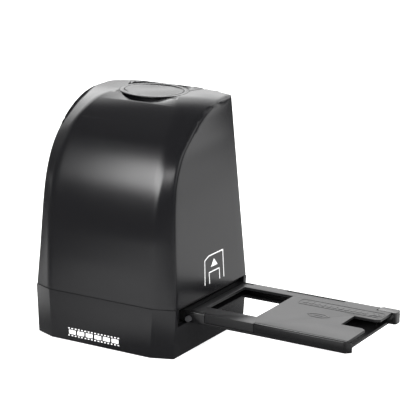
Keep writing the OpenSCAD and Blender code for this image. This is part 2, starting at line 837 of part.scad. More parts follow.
module light_board() {
    color("#2f6b45") translate([0, axis_y, floor_top])
        plate(light_in[0] - 2 * seat_gap, light_in[1] - 2 * seat_gap, board_t, 1);
}

module light_leds() {
    color("#f4efd8") for (x = [-1:1], y = [-1:1])
        translate([x * light_in[0] / 3.4, axis_y + y * light_in[1] / 3.4, floor_top + board_t])
            block(led_size[0], led_size[1], led_size[2]);
}

module diffuser() {
    color("#f2f2ee") translate([0, axis_y, light_top])
        plate(light_in[0] + light_wall, light_in[1] + light_wall, glide_t - 0.3, 1);
}

// ---- Camera ----

// A four-sided funnel over the film, with its skin moved inwards by t
module funnel(t, low, high) {
    intersection() {
        along_y(FAR) taper(hood_base[0] - t, low, hood_top - t, high);
        translate([0, axis_y, 0]) along_x(FAR) taper(hood_base[1] - t, low, hood_top - t, high);
    }
}
module taper(foot, low, top, high) { polygon([[-foot, low], [foot, low], [top, high], [-top, high]]); }

module lens_hood() {
    color("#1c1c1e") difference() {
        union() {
            intersection() {
                span(frame_x, [fence_y, tray_back], [gate_z, gate_z + glide_t]);
                base(wall + wall_gap, gate_z, FAR);
            }
            funnel(0, gate_z, hood_z + glide_t / 2);
            translate([0, axis_y, hood_z]) plate(hood_plate, hood_plate, glide_t, hood_r);
            at_pillars() translate([0, 0, hood_z]) cylinder(r = stand_r, h = camera_z - hood_z);
        }
        funnel(hood_t, gate_z - 1, hood_z);
        translate([0, axis_y, hood_z - 1]) cylinder(r = barrel_r + 5 * seat_gap, h = glide_t + 2);
        at_pillars() translate([0, 0, camera_z - small_screw_l - 1])
            cylinder(r = board_screw_r + pin_clearance, h = small_screw_l + 2);
        post_clearance();
        at_hood_screws() translate([0, 0, gate_z - 1])
            cylinder(r = board_screw_r + seat_gap, h = glide_t + 2);
    }
}

module hood_screws() {
    color("silver") at_hood_screws() translate([0, 0, gate_z + glide_t])
        rotate([180, 0, 0]) screw(board_screw_r, small_screw_l);
}

module lens_barrel() {
    color("#26262a") translate([0, axis_y, barrel_z]) difference() {
        cylinder(r = barrel_r, h = barrel_l);
        translate([0, 0, -1]) cylinder(r = barrel_r - barrel_wall - barrel_lip, h = FAR);
        translate([0, 0, barrel_lip]) cylinder(r = barrel_r - barrel_wall, h = FAR);
    }
}

// A biconvex lens with its middle at the origin
module lens(r, bend_r, t) {
    intersection() {
        cylinder(r = r, h = 2 * t, center = true);
        translate([0, 0, t / 2 - bend_r]) sphere(bend_r);
        translate([0, 0, bend_r - t / 2]) sphere(bend_r);
    }
}
module seated_lens(i) {
    color("lightblue") translate([0, axis_y, barrel_z + lens_seats[i]])
        lens(barrel_r - barrel_wall - pin_clearance, lens_bends[i], lens_depths[i]);
}

module front_lens() { seated_lens(0); }
module rear_lens() { seated_lens(1); }

module lens_mount() {
    barrel_top = barrel_z + barrel_l + glide_gap;
    color("#1e1e20") difference() {
        translate([-mount_w / 2, axis_y - mount_w / 2, mount_z]) cube([mount_w, mount_w, camera_z - mount_z]);
        translate([0, axis_y, mount_z - 1])
            cylinder(r = barrel_r + pin_clearance, h = barrel_top - mount_z + 1);
        translate([0, axis_y, mount_z]) cylinder(r = eye_r, h = FAR);
        translate([0, axis_y, filter_z])
            block(filter_size[0] + 2 * seat_gap, filter_size[1] + 2 * seat_gap, FAR);
    }
}

module infrared_filter() {
    color("#8fb0a8") translate([0, axis_y, filter_z]) block(filter_size[0], filter_size[1], filter_size[2]);
}

module image_sensor() {
    color("#3c3c44") translate([0, axis_y, camera_z - sensor_size[2]])
        block(sensor_size[0], sensor_size[1], sensor_size[2]);
}

module sensor_board() {
    color("#2f6b45") difference() {
        translate([0, axis_y, camera_z]) plate(sensor_board_size, sensor_board_size, board_t, board_r);
        at_pillars() translate([0, 0, camera_z - 1]) cylinder(r = board_screw_r + seat_gap, h = board_t + 2);
    }
}

module sensor_screws() {
    color("silver") at_pillars() translate([0, 0, camera_z + board_t])
        rotate([180, 0, 0]) screw(board_screw_r, small_screw_l);
}

// ---- Main board ----

module main_board() {
    color("#2f6b45") difference() {
        translate([0, main_back, main_z + main_size[1] / 2]) rotate([90, 0, 0])
            plate(main_size[0], main_size[1], board_t, board_r);
        at_main_posts() translate([0, 0, -board_t - 1])
            cylinder(r = board_screw_r + seat_gap, h = board_t + 2);
    }
}

module chip(place, size) { translate([place[0], main_back, place[1]]) cube(size); }
module main_chip() { color("#202022") chip(chip_at, chip_size); }
module memory_chip() { color("#202022") chip(memory_at, memory_size); }

module board_capacitors() {
    color("#2b3a55") for (i = [0:2]) translate([capacitor_x, main_y, capacitor_z + i * capacitor_pitch])
        rotate([90, 0, 0]) cylinder(r = capacitor_r, h = capacitor_l);
}

module board_screws() {
    color("silver") at_main_posts() translate([0, 0, -board_t])
        screw(board_screw_r, board_t + small_screw_l / 2);
}

module usb_socket() {
    color("#c8c8c4") translate([0, main_back + usb_size[2] / 2, usb_z]) difference() {
        cube([usb_size[0], usb_size[2], usb_size[1]], center = true);
        translate([0, usb_back_wall, 0])
            cube([usb_size[0] - 2 * usb_wall, usb_size[2], usb_size[1] - 2 * usb_wall], center = true);
    }
}

module usb_tongue() {
    color("#202022") translate([0, main_back + usb_back_wall + tongue_size[1] / 2, usb_z])
        cube(tongue_size, center = true);
}

upper_shell();
base_shell();
rubber_pad();
case_screws();
button_trim();
button_cap();
button_spring();
button_switch();
switch_plunger();
button_board();
button_screws();
tray_frame();
tray_cover();
hinge_pin();
stop_pin();
guide_frame();
rail_spring_inner();
rail_spring_outer();
light_box();
light_board();
light_leds();
diffuser();
lens_hood();
hood_screws();
lens_barrel();
front_lens();
rear_lens();
lens_mount();
infrared_filter();
image_sensor();
sensor_board();
sensor_screws();
main_board();
main_chip();
memory_chip();
board_capacitors();
board_screws();
usb_socket();
usb_tongue();
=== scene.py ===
# %% [markdown]
# # A desktop film scanner, dressed in Blender
#
# The scanner is a curved black tower on a base, with a button in its top and a film tray drawn out of
# its side. Its exact solids come from the CAD model, which is loaded as a fixed frame: every piece added
# here lies in that frame, in metres, with +Z up. This file adds what the solids lack: a smooth skin, rounded
# moulding edges, printed signs, raised marks, finishes, lamps and a camera.

# %% Load the frame
import json
import math

import bmesh
import bpy
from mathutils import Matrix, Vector
from mathutils.bvhtree import BVHTree
from mathutils.geometry import barycentric_transform


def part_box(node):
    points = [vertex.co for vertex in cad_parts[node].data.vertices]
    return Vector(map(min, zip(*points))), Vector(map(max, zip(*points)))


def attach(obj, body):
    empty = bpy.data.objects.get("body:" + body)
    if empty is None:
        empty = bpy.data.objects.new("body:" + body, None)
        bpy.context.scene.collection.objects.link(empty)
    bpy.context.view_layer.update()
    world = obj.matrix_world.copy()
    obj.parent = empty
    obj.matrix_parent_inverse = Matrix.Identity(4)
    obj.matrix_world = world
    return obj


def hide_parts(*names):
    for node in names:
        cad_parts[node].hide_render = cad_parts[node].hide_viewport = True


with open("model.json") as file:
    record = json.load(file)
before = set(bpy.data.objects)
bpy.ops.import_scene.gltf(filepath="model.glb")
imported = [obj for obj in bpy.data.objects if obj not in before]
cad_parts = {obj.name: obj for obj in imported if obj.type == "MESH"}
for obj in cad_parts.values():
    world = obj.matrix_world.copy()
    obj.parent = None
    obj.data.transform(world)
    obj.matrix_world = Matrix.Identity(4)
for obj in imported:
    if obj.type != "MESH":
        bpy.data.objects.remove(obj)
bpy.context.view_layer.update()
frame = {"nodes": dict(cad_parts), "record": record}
MM = 0.001
print("nodes in the frame:", len(frame["nodes"]))

# %% [markdown]
# ## Camera
#
# A long lens far away keeps upright edges nearly parallel, which is how such products are shown. The
# camera is turned a third of a right angle towards the tray side, and looks down on the scanner a little.

# %% Camera
CAMERA_AT = Vector((0.4810, -0.7172, 0.3043))
CAMERA_TURN = math.radians(31.38)
CAMERA_DIP = math.radians(15.32)
LENS_MM, SENSOR_MM = 142.8, 36
CLIP_FROM, CLIP_TO = 0.05, 20


def linked(name, data):
    """A new object in the scene, around a mesh, a lamp or a camera."""
    thing = bpy.data.objects.new(name, data)
    bpy.context.scene.collection.objects.link(thing)
    return thing


def make_camera():
    """A camera with a long lens, which the scene is seen through."""
    data = bpy.data.cameras.new("camera")
    data.lens = LENS_MM
    data.sensor_width = SENSOR_MM
    data.clip_start = CLIP_FROM
    data.clip_end = CLIP_TO
    camera = linked("camera", data)
    camera.location = CAMERA_AT
    camera.rotation_euler = (math.pi / 2 - CAMERA_DIP, 0, CAMERA_TURN)
    bpy.context.scene.camera = camera


make_camera()
print("camera looks down by", round(math.degrees(CAMERA_DIP), 1), "degrees")

# %% [markdown]
# ## Surroundings
#
# Black plastic shows its shape almost only by what it mirrors, so the surroundings matter more here than
# the lamps. They are a photographer's light tent, painted into the world as soft boxes: a wide white sheet
# behind, a box high on the left, a wide one on the tray side, and a small strong one in front that draws
# the highlight on the bend of the tower. Painted boxes need no objects, and their edges can be soft.


# %% Colours and nodes
def colour(code):
    """An sRGB hex value as the linear colour that Blender's sockets take."""
    values = [int(code[i:i + 2], 16) / 255 for i in (1, 3, 5)]
    linear = [v / 12.92 if v <= 0.04045 else ((v + 0.055) / 1.055) ** 2.4 for v in values]
    return (*linear, 1.0)


def add(tree, kind, settings=None, links=None, **values):
    """Adds a node: settings are its properties, links join its inputs, values fill its inputs."""
    node = tree.nodes.new(kind)
    for name, value in (settings or {}).items():
        setattr(node, name, value)
    for name, value in values.items():
        node.inputs[name.replace("_", " ")].default_value = value
    for name, socket in (links or {}).items():
        tree.links.new(socket, node.inputs[name])
    return node


WHITE = colour("#ffffff")
print("white:", WHITE)


# %% Arithmetic in nodes
def operate(tree, operation, first, second):
    """A Math node on two sockets or numbers."""
    node = tree.nodes.new("ShaderNodeMath")
    node.operation = operation
    for socket, value in zip(node.inputs, (first, second)):
        if isinstance(value, (int, float)):
            socket.default_value = value
        else:
            tree.links.new(value, socket)
    return node.outputs[0]


def along(tree, ray, axis):
    """How far a ray's direction points along an axis."""
    node = add(tree, "ShaderNodeVectorMath", {"operation": "DOT_PRODUCT"}, {0: ray})
    node.inputs[1].default_value = axis
    return node.outputs["Value"]


def soft_step(tree, value, start, end):
    """Rises smoothly from 0 at start to 1 at end."""
    node = add(tree, "ShaderNodeMapRange", {"interpolation_type": "SMOOTHSTEP"}, {"Value": value})
    node.inputs["From Min"].default_value = start
    node.inputs["From Max"].default_value = end
    return node.outputs["Result"]


def ranged(tree, value, low, high):
    """A pattern's 0 to 1, stretched from low to high."""
    node = add(tree, "ShaderNodeMapRange", links={"Value": value})
    node.inputs["To Min"].default_value = low
    node.inputs["To Max"].default_value = high
    return node.outputs["Result"]


# %% Soft boxes
# Turn, rise, width, height, softness of the edge (degrees) and strength; turn runs from -Y towards -X
SOFT_BOXES = (
    (164, 24, 92, 8, 8, 1.65),      # white sheet behind
    (165, 35, 100, 26, 26, 1.9),    # its upper part
    (155, 11, 150, 24, 12, 0.95),   # and its foot
    (104, 27, 64, 20, 16, 0.3),     # high on the left
    (18.5, 25.5, 32, 15, 6, 11.0),  # the box in front
    (95, 64, 60, 24, 24, 0.12),     # the lamp's own glow
    (-78, 34, 60, 40, 20, 1.3),     # a wide one on the tray side
)
# The least depth of a ray along a box's axis, so that nothing is divided by zero, and the least half angle
LEAST_DEPTH, LEAST_ANGLE = 0.001, 0.1


def soft_box(tree, ray, turn, rise, width, height, edge, strength):
    """Light from a rectangle of the sky, with angles in degrees."""
    turn, rise = math.radians(turn), math.radians(rise)
    ahead = Vector((-math.sin(turn) * math.cos(rise), -math.cos(turn) * math.cos(rise), math.sin(rise)))
    side = Vector((math.cos(turn), -math.sin(turn), 0))
    up = ahead.cross(side) if ahead.cross(side).z > 0 else side.cross(ahead)
    depth = operate(tree, "MAXIMUM", along(tree, ray, ahead), LEAST_DEPTH)
    light = strength
    for axis, size in ((side, width), (up, height)):
        off = operate(tree, "ABSOLUTE", operate(tree, "DIVIDE", along(tree, ray, axis), depth), 0)
        inner = math.tan(math.radians(max(size / 2 - edge / 2, LEAST_ANGLE)))
        outer = math.tan(math.radians(size / 2 + edge / 2))
        light = operate(tree, "MULTIPLY", soft_step(tree, off, outer, inner), light)
    return light


# %% The world
# Light from every direction, under that of the boxes
AMBIENT = 0.09


def make_world():
    """Evenly white to the camera, and soft boxes to everything that mirrors them or is lit by them."""
    world = bpy.data.worlds.new("studio")
    world.use_nodes = True
    tree = world.node_tree
    tree.nodes.clear()
    ray = add(tree, "ShaderNodeTexCoord").outputs["Generated"]
    light = AMBIENT
    for box in SOFT_BOXES:
        light = operate(tree, "ADD", soft_box(tree, ray, *box), light)
    path = add(tree, "ShaderNodeLightPath")
    tent = add(tree, "ShaderNodeBackground", links={"Strength": light}, Color=WHITE)
    white = add(tree, "ShaderNodeBackground", Color=WHITE, Strength=1.0)
    mix = add(tree, "ShaderNodeMixShader",
              links={0: path.outputs["Is Camera Ray"], 1: tent.outputs[0], 2: white.outputs[0]})
    add(tree, "ShaderNodeOutputWorld", links={"Surface": mix.outputs[0]})
    bpy.context.scene.world = world


make_world()
bpy.context.scene.view_settings.view_transform = "Standard"
print("soft boxes:", len(SOFT_BOXES))

# %% [markdown]
# ## Table
#
# The table is a plain white laminate. Glossy plastic near it mirrors it strongly, and a real table in a
# tent is never lit evenly, so what the plastic mirrors is made of round pools of light that fade outwards.
# The camera itself sees an even white.

# %% Values of the table
TABLE_CORNERS = ((-1.6, -0.9, 0), (2.2, -0.9, 0), (2.2, 2.4, 0), (-1.6, 2.4, 0))
# Pools of light on the table: middle, where each starts and ends to fade, and its light
POOLS = (
    ((0.20, 0.25, 0), 0.20, 0.42, 1.05),    # behind on the right
    ((0.03, -0.22, 0), 0.10, 0.22, 0.95),   # in front
    ((-0.16, 0.00, 0), 0.06, 0.12, 1.1),    # on the left
    ((-0.28, 0.38, 0), 0.20, 0.42, 0.8),    # behind on the left
    ((0.36, -0.22, 0), 0.12, 0.26, 0.7),    # in front on the right
    ((0.10, -0.02, 0), 0.06, 0.14, -1.0),   # the shade under the tray
)
# Light between the pools, and the least that is left in the shade
POOL_REST, POOL_SHADE = 0.12, 0.1
# Light that the table gives off itself, so that it stays white away from the lamp
TABLE_GLOW = 0.72
print("pools of light:", len(POOLS))


# %% The table
def blank_material(name):
    """A material with no nodes yet, its tree, and the object coordinates that its pattern lies in."""
    material = bpy.data.materials.new(name)
    material.use_nodes = True
    tree = material.node_tree
    tree.nodes.clear()
    return material, tree, add(tree, "ShaderNodeTexCoord").outputs["Object"]


def table_material():
    """White laminate. What the camera sees is evenly white; what the plastic mirrors is pools of light."""
    material, tree, place = blank_material("white_laminate")
    level = POOL_REST
    for middle, start, end, light in POOLS:
        pool = add(tree, "ShaderNodeVectorMath", {"operation": "DISTANCE"}, {0: place})
        pool.inputs[1].default_value = middle
        fade = soft_step(tree, pool.outputs["Value"], end, start)
        level = operate(tree, "ADD", operate(tree, "MULTIPLY", fade, light), level)
    level = operate(tree, "MAXIMUM", level, POOL_SHADE)
    mirrored = add(tree, "ShaderNodeEmission", links={"Strength": level}, Color=WHITE)
    matte = add(tree, "ShaderNodeBsdfDiffuse", Color=colour("#f4f4f4"))
    shine = add(tree, "ShaderNodeEmission", Color=WHITE, Strength=TABLE_GLOW)
    seen = add(tree, "ShaderNodeAddShader", links={0: matte.outputs[0], 1: shine.outputs[0]})
    path = add(tree, "ShaderNodeLightPath")
    mix = add(tree, "ShaderNodeMixShader",
              links={0: path.outputs["Is Glossy Ray"], 1: seen.outputs[0], 2: mirrored.outputs[0]})
    add(tree, "ShaderNodeOutputMaterial", links={"Surface": mix.outputs[0]})
    return material


def make_table():
    mesh = bpy.data.meshes.new("table_top")
    mesh.from_pydata(TABLE_CORNERS, [], [(0, 1, 2, 3)])
    mesh.materials.append(table_material())
    table = linked("table_top", mesh)


make_table()
print("table:", TABLE_CORNERS[2][0] - TABLE_CORNERS[0][0], "m wide")

# %% [markdown]
# ## Lamps
#
# Two broad lamps light what isn't mirrored, such as the white ink: one above, and a weaker one on the tray
# side. Both are hidden from glossy rays, because the soft boxes already say what the plastic mirrors.


# %% Lamps
def area_lamp(name, side, watts, at, towards=None):
    """A square lamp that shines straight down, or towards a point."""
    data = bpy.data.lights.new(name, "AREA")
    data.shape = "RECTANGLE"
    data.size, data.size_y = side, side
    data.energy = watts
    lamp = linked(name, data)
    lamp.location = at
    if towards:
        lamp.rotation_euler = (Vector(towards) - lamp.location).to_track_quat("-Z", "Y").to_euler()
    lamp.visible_glossy = False


area_lamp("top_lamp", 1.4, 20.0, (0.2, 0.1, 1.6))
area_lamp("fill_lamp", 0.9, 9.0, (1.1, -0.5, 0.7), towards=(0, 0, 0.06))
print("lamps:", [lamp.name for lamp in bpy.data.lights])

# %% [markdown]
# ## Finishes
#
# Nearly everything seen is ABS moulded in black. The shells came out of a spark-eroded mould, so they have
# a very fine grain and a satin shine; the tray is the same plastic with a coarser, more matte grain on its
# cover. Grain is finer than a picture can show, so it is drawn several times coarser than the real 0.1 mm.

# %% Moulded plastic
# Size of the slow changes of shine over a moulding, and how far they go each way
SLOW_MM, UNEVEN = 25, 0.04


def principled(tree, links, **values):
    """The surface of a material, joined to its output."""
    skin = add(tree, "ShaderNodeBsdfPrincipled", links=links, **values)
    add(tree, "ShaderNodeOutputMaterial", links={"Surface": skin.outputs[0]})


def moulded_plastic(name, code, rough, grain_mm, grain_depth, ior=1.5):
    """ABS or polystyrene from a textured mould: a fine grain, and slow changes of shine over the part."""
    material, tree, place = blank_material(name)
    grain = add(tree, "ShaderNodeTexNoise", links={"Vector": place}, Scale=1 / (grain_mm * MM), Detail=2.0)
    slow = add(tree, "ShaderNodeTexNoise", links={"Vector": place}, Scale=1 / (SLOW_MM * MM), Detail=3.0)
    relief = add(tree, "ShaderNodeBump", links={"Height": grain.outputs["Fac"]},
                 Strength=1.0, Distance=grain_depth * MM)
    shine = ranged(tree, slow.outputs["Fac"], rough - UNEVEN, rough + UNEVEN)
    principled(tree, {"Roughness": shine, "Normal": relief.outputs["Normal"]},
               Base_Color=colour(code), IOR=ior)
    return material


# Each finish: name of the material, colour, roughness, size and depth of its grain in millimetres
FINISH = {
    "shell_black": moulded_plastic("satin_black_abs", "#141416", 0.21, 0.5, 0.004),
    "base_black": moulded_plastic("satin_black_abs_base", "#141416", 0.25, 0.5, 0.004),
    "rail_black": moulded_plastic("smooth_black_abs", "#131314", 0.21, 0.6, 0.004),
    "cover_grey": moulded_plastic("fine_matte_black_abs", "#1b1b1c", 0.36, 0.45, 0.014),
    "cap_black": moulded_plastic("satin_black_abs_button", "#151517", 0.26, 0.5, 0.004),
    "trim_black": moulded_plastic("glossy_black_abs", "#131315", 0.22, 0.6, 0.003),
    "rubber": moulded_plastic("black_silicone_rubber", "#191919", 0.75, 0.8, 0.03, ior=1.42),
    "inner_black": moulded_plastic("matte_black_polycarbonate", "#151516", 0.6, 0.6, 0.02, ior=1.58),
    "chip_black": moulded_plastic("black_epoxy", "#1b1b1d", 0.55, 0.3, 0.01, ior=1.55),
    "white_plastic": moulded_plastic("white_polystyrene", "#ececE6", 0.5, 0.8, 0.01, ior=1.59),
    "capacitor_blue": moulded_plastic("blue_pvc_sleeve", "#26355a", 0.25, 1.0, 0.004, ior=1.54),
    "led_yellow": moulded_plastic("phosphor_resin", "#f0e6b4", 0.2, 0.5, 0.004),
    # The stop pin is a separate moulding in a slightly greyer plastic
    "pin_grey": moulded_plastic("dark_grey_acetal", "#3c3c3e", 0.3, 0.6, 0.004, ior=1.48),
}
print("plastics:", len(FINISH))

# %% [markdown]
# ## Metal, boards and glass
#
# The springs, the hinge pin and the screws are plated steel, and the boards are glass fibre under green
# lacquer. Most of them are seen only when the scanner is taken apart, but a true finish costs little. Each
# starts from what the real surface has: scratches from forming, copper tracks, a thin coating on glass.

# %% Metal
# How much longer than wide a scratch is, and how much it changes the shine
SCRATCH_STRETCH, SCRATCH_SHINE = 12, 0.08


def plated_metal(name, code, rough, scratch_mm):
    """Zinc or nickel plated steel: fine scratches that run one way roughen the shine."""
    material, tree, place = blank_material(name)
    stretch = add(tree, "ShaderNodeMapping", links={"Vector": place}, Scale=(1, 1, SCRATCH_STRETCH))
    marks = add(tree, "ShaderNodeTexNoise", links={"Vector": stretch.outputs["Vector"]},
                Scale=1 / (scratch_mm * MM), Detail=3.0)
    shine = ranged(tree, marks.outputs["Fac"], rough - SCRATCH_SHINE, rough + SCRATCH_SHINE)
    principled(tree, {"Roughness": shine}, Base_Color=colour(code), Metallic=1.0)
    return material


FINISH["steel"] = plated_metal("zinc_plated_steel", "#b9bbbe", 0.32, 0.4)
FINISH["socket_metal"] = plated_metal("nickel_plated_steel", "#c6c8ca", 0.2, 0.6)
print("metals:", FINISH["steel"].name, FINISH["socket_metal"].name)

# %% Circuit board
# Spacing of the copper tracks, and their share of it
TRACK_MM, TRACK_SHARE = 4, 0.06


def solder_mask(name, code, track_code):
    """Glass-fibre board under green lacquer, with copper tracks that show through as a lighter green."""
    material, tree, place = blank_material(name)
    tracks = add(tree, "ShaderNodeTexBrick", links={"Vector": place}, Color1=colour(code),
                 Color2=colour(code), Mortar=colour(track_code), Scale=1 / (TRACK_MM * MM),
                 Mortar_Size=TRACK_SHARE)
    principled(tree, {"Base Color": tracks.outputs["Color"]}, Roughness=0.32, IOR=1.52)
    return material


FINISH["board_green"] = solder_mask("solder_mask_green", "#1f5a38", "#2f7a4c")
print("board:", FINISH["board_green"].name)

# %% Optical glass
# Size of the patches in a lens coating, and the most that they roughen it
COATING_MM, COATING_ROUGH = 6, 0.04


def optical_glass(name, code, ior):
    """Coated lens glass: clear, with the faint tint of its coating."""
    material, tree, place = blank_material(name)
    film = add(tree, "ShaderNodeTexNoise", links={"Vector": place}, Scale=1 / (COATING_MM * MM))
    shine = ranged(tree, film.outputs["Fac"], 0.0, COATING_ROUGH)
    principled(tree, {"Roughness": shine}, Base_Color=colour(code), IOR=ior, Transmission_Weight=1.0)
    return material


FINISH["lens_glass"] = optical_glass("coated_crown_glass", "#dceef2", 1.52)
FINISH["filter_glass"] = optical_glass("infrared_blocking_glass", "#a9cfc2", 1.54)
print("glasses:", FINISH["lens_glass"].name, FINISH["filter_glass"].name)


# %% Dress the CAD nodes
def dress_nodes():
    """Gives each node the finish that its record names."""
    for part in frame["record"]["subparts"]:
        node = frame["nodes"][part["node"]]
        node.data.materials.clear()
        node.data.materials.append(FINISH[part["material_slot"]])


dress_nodes()
frame["nodes"]["stop_pin"].data.materials[0] = FINISH["pin_grey"]
print("finishes:", len(FINISH))

# %% [markdown]
# ## The skin of the tower
#
# The real tower is one smooth moulding: its creases are soft, its sides swell a little towards the top, and
# its back corners are rounded. Plane and cylinder cuts give the solid nearly that shape, with sharp creases.
# A few stations along the crease and along the side edge are enough to loft the smooth form. A copy of the
# solid is divided finely and laid onto that loft, so that every opening, post and rim stays where it is.

# %% Values of the tower
# In millimetres: heights of its foot and top, and half its width and depth at the foot
SEAM, TOP = 27.4, 131.7
HALF_WIDE, HALF_DEEP = 45.0, 38.7
FRONT_LEAN, BROW_LEAN, CROWN_TILT = (math.radians(a) for a in (2.9, 31.0, 4.1))
SIDE_LEAN, BACK_LEAN = math.radians(2.9), math.radians(4.4)
# Where the crown begins, and the radii of the bends at the front, the brow and the top of the back
BROW_AT = -10.5
BENDS = (104.0, 43.7, 1.5)
# Height on the middle sheet, half width of the crease there, and X, Y and Z of the side edge beside it
STATIONS = (
    (27.4, 33.2, 45.0, -34.3, 27.4), (36.0, 33.5, 44.5, -33.5, 36.0), (48.6, 33.5, 43.7, -32.4, 48.6),
    (64.3, 33.45, 42.8, -31.2, 64.3), (78.9, 33.0, 41.95, -30.0, 78.7), (90.0, 32.5, 41.3, -28.2, 89.7),
    (99.9, 31.8, 41.0, -24.6, 99.5), (107.3, 31.0, 40.9, -20.2, 106.5), (114.4, 29.9, 41.2, -13.6, 113.1),
    (120.2, 27.9, 41.3, -7.3, 118.3), (125.2, 25.5, 41.25, 0.5, 123.1), (128.3, 23.3, 41.2, 9.0, 126.4),
    (129.8, 20.9, 41.2, 15.9, 128.2), (130.7, 18.5, 40.9, 22.0, 129.0), (131.6, 17.0, 40.5, 30.0, 129.4),
)
print("tower:", TOP - SEAM, "mm tall, with", len(STATIONS), "stations")


# %% Smooth paths
def clamped(t):
    """0 below 0, 1 above 1, and t between."""
    return max(0.0, min(1.0, t))


def eased(t):
    """0 below 0, 1 above 1, and a smooth rise between."""
    t = clamped(t)
    return t * t * (3 - 2 * t)


def line_meet(p, p_way, q, q_way):
    """Where two lines of the side view cross."""
    cross = p_way.x * q_way.y - p_way.y * q_way.x
    off = q - p
    return p + p_way * ((off.x * q_way.y - off.y * q_way.x) / cross)


def rounded_path(points, radii, step):
    """A polygon of the side view with its inner corners turned to arcs, as closely spaced points."""
    path = [points[0]]
    for before, corner, after, r in zip(points, points[1:], points[2:], radii):
        way_in, way_out = (corner - before).normalized(), (after - corner).normalized()
        turn = way_in.angle(way_out)
        reach = r * math.tan(turn / 2)
        middle = corner + (way_out - way_in).normalized() * (r / math.cos(turn / 2))
        start = corner - way_in * reach - middle
        sign = -1 if way_in.x * way_out.y - way_in.y * way_out.x < 0 else 1
        count = max(4, math.ceil(r * turn / step))
        for i in range(count + 1):
            a = sign * turn * i / count
            path.append(middle + Vector((start.x * math.cos(a) - start.y * math.sin(a),
                                         start.x * math.sin(a) + start.y * math.cos(a))))
    path.append(points[-1])
    fine = []
    for p, q in zip(path, path[1:]):
        count = max(1, math.ceil((q - p).length / step))
        fine += [p.lerp(q, i / count) for i in range(count)]
    return fine + [path[-1]]


def smooth_between(table, key, at):
    """A smooth curve through the rows of a table, read where its column key has the value at."""
    keys = [row[key] for row in table]
    i = max(0, min(len(keys) - 2, sum(k <= at for k in keys) - 1))
    span = keys[i + 1] - keys[i]
    t = clamped((at - keys[i]) / span)

    def slope(j, column):
        low, high = max(0, j - 1), min(len(keys) - 1, j + 1)
        return (table[high][column] - table[low][column]) / (keys[high] - keys[low])

    result = []
    for column in range(len(table[0])):
        a, b = table[i][column], table[i + 1][column]
        slope_a, slope_b = slope(i, column) * span, slope(i + 1, column) * span
        result.append((2 * t ** 3 - 3 * t ** 2 + 1) * a + (t ** 3 - 2 * t ** 2 + t) * slope_a
                      + (3 * t ** 2 - 2 * t ** 3) * b + (t ** 3 - t ** 2) * slope_b)
    return result


print("halfway up, the crease is", round(smooth_between(STATIONS, 0, (SEAM + TOP) / 2)[1], 1), "mm out")

# %% Rows of the loft
# Points in each straight stretch of a row, points in each of its arcs, and the most of a stretch an arc takes
STRAIGHTS, ARC, ARC_SHARE = (10, 6, 6, 14), 8, 0.45
# How far the middle of the front stands proud, up to which height, and over how much it fades below and above
CROWNING, CROWNED_TO, CROWN_FADES = 0.5, 121, (20, 12)


def soft_row(corners, softness):
    """One row of the loft: a line through its corners, each eased over its own reach."""
    row = [corners[0]]
    for before, corner, after, soft in zip(corners, corners[1:], corners[2:], softness):
        reach = min(soft, ARC_SHARE * (corner - before).length, ARC_SHARE * (after - corner).length)
        a = corner + (before - corner).normalized() * reach
        b = corner + (after - corner).normalized() * reach
        row.append([a.lerp(corner, k / ARC).lerp(corner.lerp(b, k / ARC), k / ARC) for k in range(ARC + 1)])
    row.append(corners[-1])
    points, last = [row[0]], row[0]
    for item, pieces in zip(row[1:], STRAIGHTS):
        target = item[0] if isinstance(item, list) else item
        points += [last.lerp(target, k / pieces) for k in range(1, pieces + 1)]
        if isinstance(item, list):
            points += item[1:]
            last = item[-1]
    return points


def crowned(row, way, crease):
    """A row whose middle sheet stands proud, most in the middle and not at all at the crease."""
    height = row[0].z
    proud = CROWNING * eased((height - SEAM) / CROWN_FADES[0]) * eased((CROWNED_TO - height) / CROWN_FADES[1])
    out = Vector((0, -way.y, way.x))
    return [p + out * proud * (1 - (p.x / crease) ** 2) if p.x < crease else p for p in row]


# %% The loft
# Reach of the rounding at the crease, the shoulder, the side edge and the back edge
CREASE_SOFT, SHOULDER_SOFT, EDGE_SOFT, BACK_SOFT = 3.6, 7.0, 1.5, 1.3
# Where the shoulder lies between crease and side edge, how far it swells, and from where over how far
SHOULDER_SHARE, SWELL, SWELL_FROM, SWELL_RUN = 0.45, 0.35, -5, 25
# Spacing of the rows, and the highest points of the side's back edge and of its middle
ROW_STEP, EDGE_TOP, MIDDLE_TOP = 1.2, 129.4, 129.39
# How far the back edge drops below the middle, from which height, and how sharply
BACK_DROP, DROP_FROM, DROP_POWER = 2.3, 118, 1.5
# The half width that the back edge keeps to above a height
TOP_HALF_WIDE, NARROW_FROM = 40.5, 125


def back_edge(z):
    """The back edge at a height, where the leaning side and the leaning back meet."""
    rise = z - SEAM
    return Vector((HALF_WIDE - rise * math.tan(SIDE_LEAN), HALF_DEEP - rise * math.tan(BACK_LEAN), z))


def side_middle(z):
    """Middle of the side face at a height, where the front and the back part of the loft meet."""
    z = min(z, MIDDLE_TOP)
    edge = smooth_between(STATIONS, 4, z)
    return Vector(edge[2:4] + [z]).lerp(back_edge(z), 0.5)


def side_view():
    """The middle sheet's path in the side view, from the front foot over the crown to the rear foot."""
    foot = Vector((-HALF_DEEP, SEAM))
    rear_top = Vector((HALF_DEEP - (TOP - SEAM) * math.tan(BACK_LEAN), TOP))
    brow = Vector((BROW_AT, rear_top.y - (rear_top.x - BROW_AT) * math.tan(CROWN_TILT)))
    bend = line_meet(foot, Vector((math.sin(FRONT_LEAN), math.cos(FRONT_LEAN))),
                     brow, Vector((math.sin(BROW_LEAN), math.cos(BROW_LEAN))))
    return rounded_path([foot, bend, brow, rear_top, Vector((HALF_DEEP, SEAM))], BENDS, ROW_STEP)


